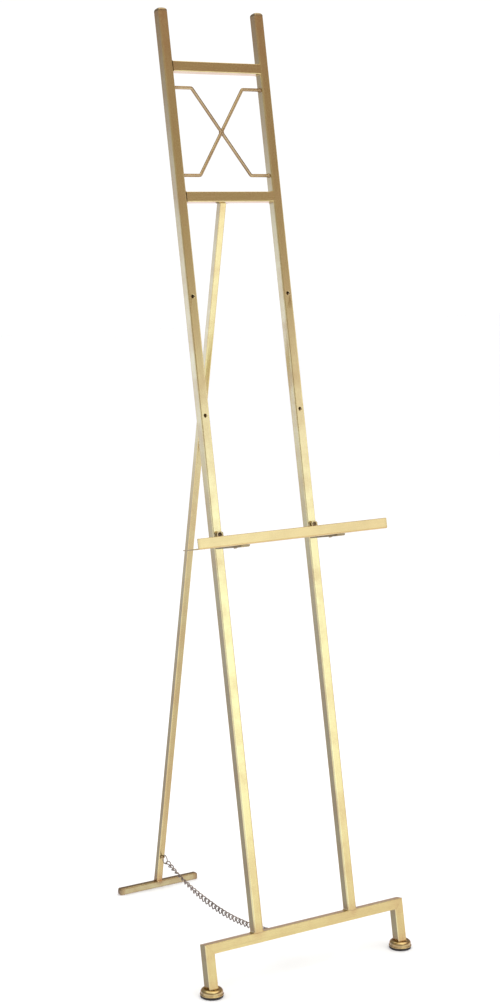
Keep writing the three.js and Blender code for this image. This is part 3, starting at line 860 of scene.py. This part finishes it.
def make_foot_bar():
    axes = ON_FLOOR @ place(0, BAR_Y, LEG_TUBE / 2)
    stations = steps(-BAR_HALF, BAR_HALF, 8)
    bar = tube(LEG_TUBE, LEG_CORNER, stations, LEG_WALL).moved(ALONG_X)
    piece(
        "tube_foot_bar", bar, axes, BAR_BRASS_SHADED, "rear_leg", ["rear_foot_bar"],
        lambda p: max(near(abs(p.x) - BAR_HALF, 9) * 0.8, near(p.x, 16) * (p.z > 0)),
    )
    for name, side in SIDES:
        cap = dome(LEG_TUBE, LEG_CORNER, BAR_CAP_RISE, 3.6, 6)
        cap = cap.moved(place(side * BAR_HALF) @ Matrix.Rotation(side * math.pi / 2, 4, "Y"))
        piece(
            f"cap_foot_bar_{name}", cap, axes, CAP_BRASS, "rear_leg",
            [f"bar_cap_{name}"], lambda p: 0.75,
        )


# ------------------------------------------------------------------ chain
def circle(radius, count):
    """Points round a circle in the plane that the leg folds in."""
    turns = [2 * math.pi * k / count for k in range(count)]
    return [Vector((0, radius * math.cos(t), radius * math.sin(t))) for t in turns]


def make_leg_eye():
    """A level loop of wire with both ends on the leg's front face."""
    reach = LEG_EYE_REACH - EYE_R
    span = math.pi - math.acos((reach - LEG_TUBE / 2 - 0.1) / EYE_R)
    points = []
    for k in range(33):
        t = -math.pi / 2 - span + 2 * span * k / 32
        points.append((EYE_R * math.cos(t), EYE_R * math.sin(t) - reach, -LEG_EYE_DROP))
    points, radius = flared(points, WIRE_R, ("start", "end"))
    piece(
        "eye_leg", sweep(points, radius, 16), ON_LEG, FITTING, "rear_leg",
        ["leg_chain_eye"], lambda p: near(p.y + LEG_TUBE / 2, 4), sharp=50,
    )


def make_rail_eye():
    """An upright ring on a short post behind the base rail."""
    centre = rail_eye() + Vector((0, 0, RAIL_EYE_LIFT))
    ring = sweep(circle(EYE_R, 40), WIRE_R, 16, closed=True)
    post_foot = ON_FRAME @ Vector((0, TUBE + 0.1, 76.8)) - centre
    post_tip = Vector((0, -2.7, 2.2))
    post, radius = flared([post_foot, post_foot.lerp(post_tip, 0.5), post_tip], 1.3, ("start",))
    ring.join(sweep(post, radius, 16))
    piece(
        "eye_rail", ring, Matrix.Translation(centre), FITTING, "front_frame",
        ["rail_chain_eye"], lambda p: 0.4, sharp=50,
    )


def rail_eye():
    return ON_FRAME @ Vector((0, RAIL_EYE_N, RAIL_EYE_S))


def chain_joints():
    """The joints between stretches, from the rail's eye, and each stretch's slope."""
    joints = [rail_eye()]
    slopes = []
    for k in range(STRETCHES):
        slope = FIRST_PITCH + (LAST_PITCH - FIRST_PITCH) * k / (STRETCHES - 1)
        slopes.append(slope)
        run = Vector((0, STRETCH * math.cos(slope), STRETCH * math.sin(slope)))
        joints.append(joints[-1] + run)
    return joints, slopes


# Half the width and length of a link along its wire, its twist and its wire's radius.
LINK_A = 4.75
LINK_B = 7.1
LINK_TWIST = 2.1
LINK_WIRE = 1.06
# How far above the CAD's joint the rail's eye stands, and the first links are pulled up to it.
RAIL_EYE_LIFT = 6.4
LINK_LIFT = {1: 2.6, 2: 1.3}
# How far the chain is twisted about its length, in degrees, by the number of the link.
CHAIN_ROLL = ((1, 0), (4, 12), (11, 95), (27, 110), (35, 52), (39, 8))


def chain_roll(number):
    for (first, low), (last, high) in zip(CHAIN_ROLL, CHAIN_ROLL[1:]):
        if number <= last:
            return math.radians(low + (high - low) * (number - first) / (last - first))
    return 0.0


def link(turn, number):
    """One curb link along Y, its loop twisted so that it lies flat against its neighbours."""
    points = []
    count = 36
    for k in range(count):
        t = 2 * math.pi * k / count
        points.append((LINK_A * math.cos(t), LINK_B * math.sin(t), LINK_TWIST * math.sin(2 * t)))
    width = lambda i: LINK_WIRE * (1 + 0.03 * math.sin(number * 1.7 + i))
    shape = sweep(points, width, 12, closed=True)
    return shape.moved(Matrix.Rotation(turn, 4, "Y"))


def make_chain():
    joints, slopes = chain_joints()
    number = 0
    for k in range(STRETCHES):
        shape = Shape()
        for i in range(LINKS_PER_STRETCH):
            number += 1
            along = (i + 0.5) * STRETCH / LINKS_PER_STRETCH
            roll = chain_roll(number) + 0.05 * math.sin(number * 2.3)
            shape.join(link(roll, number).moved(place(0, along, LINK_LIFT.get(number, 0.0))))
        axes = Matrix.Translation(joints[k]) @ Matrix.Rotation(slopes[k], 4, "X")
        name = f"chain_{k + 1:02d}"
        piece(
            f"links_{k + 1:02d}", shape, axes, CHAIN_METAL, name, [name],
            lambda p: 0.25 + 0.25 * math.sin(p.y), sharp=60,
        )
    make_ring(joints[-1])


def make_ring(chain_end):
    """The large ring hangs in the leg's eye and is drawn towards the chain's end."""
    eye = ON_LEG @ Vector((0, -LEG_EYE_REACH, -LEG_EYE_DROP))
    centre = eye + (chain_end - eye).normalized() * RING_OFFSET
    ring = sweep(circle(RING_R, 72), WIRE_R, 16, closed=True)
    piece(
        "ring_chain", ring, Matrix.Translation(centre), RING_METAL, "chain_ring",
        ["chain_ring"], lambda p: 0.3 * near(p.z + RING_R, 4), sharp=60,
    )


# ------------------------------------------------------------------ shelf
def tray_section():
    """The tray's section in (n, s): a plate, a rounded bend and a lip with eased edges.
    A point just past each curve keeps the flats flat."""
    def arc(cn, cs, radius, first, last, count=6):
        turns = [math.radians(first + (last - first) * k / count) for k in range(count + 1)]
        return [(cn + radius * math.cos(t), cs + radius * math.sin(t)) for t in turns]

    bend = 3.0
    ease = 0.5
    hold = 0.25
    cn = TRAY_FRONT + bend
    cs = TRAY_LOW + bend
    low = TRAY_LOW
    high = TRAY_LOW + TRAY_SHEET
    back = TRAY_BACK - ease
    inner = TRAY_FRONT + TRAY_SHEET
    points = [(TRAY_FRONT, cs + hold)] + arc(cn, cs, bend, 180, 270) + [(cn + hold, low)]
    points += [(back - hold, low)] + arc(back, low + ease, ease, -90, 0, 3)
    points += arc(back, high - ease, ease, 0, 90, 3) + [(back - hold, high)]
    points += [(cn + hold, high)] + arc(cn, cs, bend - TRAY_SHEET, 270, 180)
    points += [(inner, cs + hold)]
    points += [(inner, LIP_TOP - ease - hold)] + arc(inner - ease, LIP_TOP - ease, ease, 0, 90, 3)
    points += arc(TRAY_FRONT + ease, LIP_TOP - ease, ease, 90, 180, 3)
    points += [(TRAY_FRONT, LIP_TOP - ease - hold)]
    return points


def make_tray():
    section = tray_section()
    stations = [-TRAY_HALF] + steps(-TRAY_HALF + 6, TRAY_HALF - 6, 12) + [TRAY_HALF]
    shape = loft([[(x, n, s) for n, s in section] for x in stations])
    hole = lathe([(2.3, 760), (2.3, 765.0), (3.7, 766.1), (3.9, 768)], 28)
    holes = [hole.moved(place(side * UPRIGHT_X, RIVET_N)) for _, side in SIDES]
    rule = lambda p: near(abs(p.x) - TRAY_HALF, 4) * 0.6
    piece(
        "sheet_tray", shape, ON_FRAME, TRAY_BRASS, "shelf", ["shelf_tray"], rule,
        holes, sharp=50,
    )


def make_strap(name, x):
    """A strap bent from one flat bar: the leaf up the upright, the bend, and the arm under the
    tray, whose tip is bevelled from below."""
    leaf_n, arm_s, bend = -2.15, 762.35, 3.6
    route = [(leaf_n, s) for s in (790.2, 789.9, 789.3, 788.4, 787.2, 785.0, 778.0, 770.0)]
    for k in range(9):
        t = math.pi / 2 * k / 8
        route.append((leaf_n - bend + bend * math.cos(t), arm_s + bend - bend * math.sin(t)))
    route += [(n, arm_s) for n in (-20, -40, -52, -70, -82.8, -83.8, -84.8, -85.9, -87.0)]
    last = len(route) - 1
    top_round = {0: 3.9, 1: 2.6, 2: 1.4, 3: 0.55, 4: 0.0}
    tip_round = {last: 1.4, last - 1: 0.7, last - 2: 0.3}
    tip_thin = {last: 1.5, last - 1: 1.2, last - 2: 0.8, last - 3: 0.4, 0: 0.35}
    rings = []
    for i, (n, s) in enumerate(route):
        before = route[max(i - 1, 0)]
        after = route[min(i + 1, last)]
        along = Vector((after[0] - before[0], after[1] - before[1])).normalized()
        out = Vector((-along.y, along.x))
        inset = top_round.get(i, tip_round.get(i, 0.0))
        thin = tip_thin.get(i, 0.0)
        rise = thin if i else 0.0
        half_thick = STRAP_THICK / 2 - thin
        outline = rounded_square(STRAP_WIDTH / 2 - inset, min(0.6, half_thick - 0.15), 2, half_thick)
        rings.append([(x + a, n + out.x * b, s + rise + out.y * b) for a, b in outline])
    drills = [
        lathe([(3.3, -12), (3.3, 6)], 28).moved(place(x, 0, SHELF_S) @ ALONG_Y),
        lathe([(2.3, 755), (2.3, 770)], 24).moved(place(x, RIVET_N)),
    ]

    # The arm under the tray, below 766 mm, is darkened halfway to the strap's darkest colour: painted
    # shade from the tray above it.
    def rule(p):
        round_the_head = near(math.hypot(p.x - x, p.z - SHELF_S) - 6.4, 1.6) * (p.y > -6)
        return max(0.4 * round_the_head, 0.5 * (p.z < 766), 0.1)

    piece(
        f"strap_{name}", loft(rings), ON_FRAME, STRAP_BRASS, "shelf",
        [f"shelf_bracket_{name}"], rule, drills,
    )


def make_shelf_fittings(name, x):
    pin = [
        (0.8, -5.2), (3.4, -5.25), (3.9, -5.6), (4.2, -6.6), (4.4, -6.8), (4.6, -6.82),
        (6.0, -6.82), (6.2, -6.8), (6.45, -6.5), (6.4, -5.1), (5.9, -4.5), (3.0, -4.3),
        (3.0, 20.8), (2.4, 21.8), (1.0, 22.0),
    ]
    peg = lathe(pin, 36).moved(place(x, 0, SHELF_S) @ ALONG_Y)
    rule = lambda p: 1.0 if p.y < -5.0 and math.hypot(p.x - x, p.z - SHELF_S) < 4.1 else 0.05
    piece(
        f"peg_{name}", peg, ON_FRAME, PEG_BRASS, "shelf", [f"shelf_peg_{name}"], rule,
    )
    low = 760.2
    body = [
        (0.8, low - 1.4), (2.2, low - 1.3), (3.2, low - 0.8), (3.6, low - 0.15), (2.0, low),
        (2.0, 764.9), (3.35, 766.0), (1.2, 766.05),
    ]
    rivet = lathe(body, 32).moved(place(x, RIVET_N))
    piece(
        f"rivet_{name}", rivet, ON_FRAME, CAP_BRASS, "shelf",
        [f"shelf_rivet_{name}"], lambda p: 0.1,
    )


# ------------------------------------------------------------------ the whole easel
def make_easel():
    for name, side in SIDES:
        make_upright(name, side)
        make_stub(name, side)
        make_foot(name, side)
        make_strap(name, side * UPRIGHT_X)
        make_shelf_fittings(name, side * UPRIGHT_X)
    make_rail("top_rail", TOP_RAIL_S)
    make_rail("mid_rail", MID_RAIL_S)
    make_base_rail()
    make_lattice()
    make_hinge()
    make_rear_leg()
    make_foot_bar()
    make_leg_eye()
    make_rail_eye()
    make_chain()
    make_tray()


# ------------------------------------------------------------------ studio
# The brightest light in the studio. A colour ramp holds no more than 1, so it holds shares of it.
WORLD_PEAK = 2.5


def studio_ramp(n, height, stops):
    """A ramp over the sine of the elevation, from (elevation in degrees, colour) stops."""
    placed = []
    for elevation, color in stops:
        spot = 0.5 + 0.5 * math.sin(math.radians(elevation))
        placed.append((spot, [c / WORLD_PEAK for c in color]))
    return n.ramp(height, placed)


# The studio's walls, as (elevation in degrees, colour) stops from the floor up.
FRONT = [
    (-75, (2.0, 2.1, 2.4)), (-45, (1.9, 2.0, 2.2)), (-38, (1.1, 1.0, 1.0)),
    (-30, (0.86, 0.82, 0.86)), (-25, (1.2, 1.25, 1.45)), (-20, (1.78, 1.95, 2.15)),
    (-10, (1.7, 1.65, 1.6)), (-6, (0.88, 0.76, 0.66)), (-3.5, (0.96, 0.83, 0.76)),
    (-1, (1.42, 1.34, 1.28)), (2, (1.78, 1.98, 2.15)), (7, (1.72, 1.95, 2.12)),
    (11, (1.75, 1.9, 2.4)), (12.4, (1.3, 1.13, 1.25)), (13.8, (0.64, 0.59, 0.5)),
    (16, (0.57, 0.44, 0.34)), (20, (0.44, 0.335, 0.26)), (23, (0.52, 0.385, 0.335)),
    (28, (0.55, 0.4, 0.35)), (46, (0.6, 0.5, 0.45)), (52, (2.4, 2.3, 2.1)),
]
LEFT_BACK = [
    (-60, (0.5, 0.48, 0.5)), (-20, (0.45, 0.45, 0.6)), (-14.8, (0.46, 0.46, 0.66)),
    (-10.3, (0.58, 0.62, 0.9)), (-7.4, (0.95, 0.92, 1.05)), (-5.8, (1.25, 1.42, 2.4)),
    (-3.5, (1.24, 1.34, 2.05)), (-1, (0.92, 1.0, 1.5)), (1.4, (0.56, 0.52, 0.74)),
    (4.6, (0.33, 0.31, 0.34)), (9, (0.32, 0.3, 0.3)), (40, (0.4, 0.38, 0.36)),
    (80, (1.3, 1.3, 1.3)),
]
RIGHT_BACK = [
    (-60, (0.9, 0.85, 0.9)), (-30, (1.15, 1.05, 1.3)), (-18, (1.15, 1.0, 1.2)),
    (-4, (0.75, 0.62, 0.6)), (1, (0.62, 0.48, 0.5)), (6, (0.42, 0.34, 0.29)),
    (20, (0.38, 0.32, 0.3)), (50, (0.42, 0.35, 0.3)), (56, (2.4, 2.3, 2.1)),
]
CORNER = [
    (-60, (0.9, 0.8, 0.8)), (-25, (1.2, 1.1, 1.2)), (-10, (1.35, 1.35, 1.5)), (-6.7, (1.05, 1.08, 1.3)),
    (-4, (1.1, 1.2, 1.5)), (0, (1.2, 1.3, 1.75)), (4.3, (1.22, 1.22, 1.65)), (5.6, (0.88, 0.88, 1.0)),
    (6.8, (0.6, 0.6, 0.58)), (8, (0.52, 0.48, 0.42)), (14, (0.5, 0.42, 0.38)), (46, (0.5, 0.42, 0.38)),
    (60, (1.6, 1.5, 1.4)),
]


def sector(n, azimuth, centre, half, soft):
    shifted = n.math("SUBTRACT", azimuth, math.radians(centre))
    wrapped = n.add(
        "ShaderNodeMath", {0: shifted, 1: math.pi, 2: -math.pi}, operation="WRAP"
    ).outputs[0]
    off = n.math("ABSOLUTE", wrapped)
    inputs = {
        "Value": off,
        "From Min": math.radians(half),
        "From Max": math.radians(half + soft),
        "To Min": 1.0,
        "To Max": 0.0,
    }
    return n.add("ShaderNodeMapRange", inputs, interpolation_type="SMOOTHSTEP").outputs[0]


def make_world():
    """Studio light by direction: what each side of the tubes reflects in the photograph.
    The picture's background and the light on matt surfaces are plain white."""
    world = bpy.data.worlds.new("studio")
    world.use_nodes = True
    n = Nodes(world.node_tree)
    direction = n.add("ShaderNodeTexCoord").outputs["Generated"]
    xyz = n.add("ShaderNodeSeparateXYZ", {"Vector": direction}).outputs
    height = n.math("ADD", n.math("MULTIPLY", xyz["Z"], 0.5), 0.5)
    towards = n.math("MULTIPLY", xyz["Y"], -1.0)
    azimuth = n.math("ARCTAN2", xyz["X"], towards)
    light = studio_ramp(n, height, RIGHT_BACK)
    fading = {
        "Value": azimuth,
        "From Min": math.radians(32.6),
        "From Max": math.radians(35.4),
    }
    faded = n.add("ShaderNodeMapRange", fading).outputs[0]
    faded = n.ramp(faded, [(0.0, 1.0), (1.0, (0.85, 0.77, 0.76))])
    ahead = n.mix(1.0, studio_ramp(n, height, FRONT), faded, "MULTIPLY")
    light = n.mix(sector(n, azimuth, 38, 45, 30), light, ahead)
    light = n.mix(sector(n, azimuth, -68, 40, 24), light, studio_ramp(n, height, CORNER))
    light = n.mix(sector(n, azimuth, -147, 9, 10), light, studio_ramp(n, height, LEFT_BACK))
    ray = n.add("ShaderNodeLightPath").outputs
    plain = n.math("MAXIMUM", ray["Is Camera Ray"], ray["Is Diffuse Ray"])
    light = n.mix(plain, light, rgba([1.05 / WORLD_PEAK] * 3))
    background = n.add("ShaderNodeBackground", {"Color": light, "Strength": WORLD_PEAK})
    n.add("ShaderNodeOutputWorld", {"Surface": background.outputs[0]})
    bpy.context.scene.world = world


def make_floor():
    """A pale plain floor, which the metal doesn't mirror."""
    mesh = bpy.data.meshes.new("floor")
    reach = 14.0
    verts = [(-reach, -reach, 0), (reach, -reach, 0), (reach, reach, 0), (-reach, reach, 0)]
    mesh.from_pydata(verts, [], [(0, 1, 2, 3)])
    floor = bpy.data.objects.new("studio_floor", mesh)
    bpy.context.scene.collection.objects.link(floor)
    material = bpy.data.materials.new("floor_paper")
    material.use_nodes = True
    n = Nodes(material.node_tree)
    mottle = n.noise(n.add("ShaderNodeTexCoord").outputs["Object"], 3.0, 2.0, 0.5)
    color = n.ramp(mottle, [(0.2, (0.93, 0.93, 0.93)), (0.8, (0.95, 0.95, 0.95))])
    shader = n.add("ShaderNodeBsdfDiffuse", {"Color": color})
    n.add("ShaderNodeOutputMaterial", {"Surface": shader.outputs[0]})
    mesh.materials.append(material)
    floor.visible_glossy = False


def make_softbox():
    """Overhead light for the floor. The metal takes its light from the studio's walls."""
    light = bpy.data.lights.new("softbox", "AREA")
    light.shape = "RECTANGLE"
    light.size = 5.0
    light.size_y = 5.0
    light.energy = 60.0
    box = bpy.data.objects.new("softbox", light)
    box.location = (0.3, -0.6, 4.2)
    box.visible_glossy = False
    bpy.context.scene.collection.objects.link(box)


# The photograph's viewing angle, solved from the straight edges of the tubes.
CAMERA_AT = (-1.9331, -2.9939, 1.3647)
CAMERA_PITCH = -8.972
CAMERA_YAW = 33.413
CAMERA_LENS = 71.4


def make_camera():
    data = bpy.data.cameras.new("camera")
    data.lens = CAMERA_LENS
    data.sensor_width = 36.0
    data.sensor_fit = "AUTO"
    data.clip_end = 100.0
    camera = bpy.data.objects.new("camera", data)
    camera.location = CAMERA_AT
    camera.rotation_euler = (math.radians(90 + CAMERA_PITCH), 0.0, math.radians(-CAMERA_YAW))
    bpy.context.scene.collection.objects.link(camera)
    bpy.context.scene.camera = camera


make_easel()
make_world()
make_floor()
make_softbox()
make_camera()
bpy.context.scene.view_settings.view_transform = "Standard"
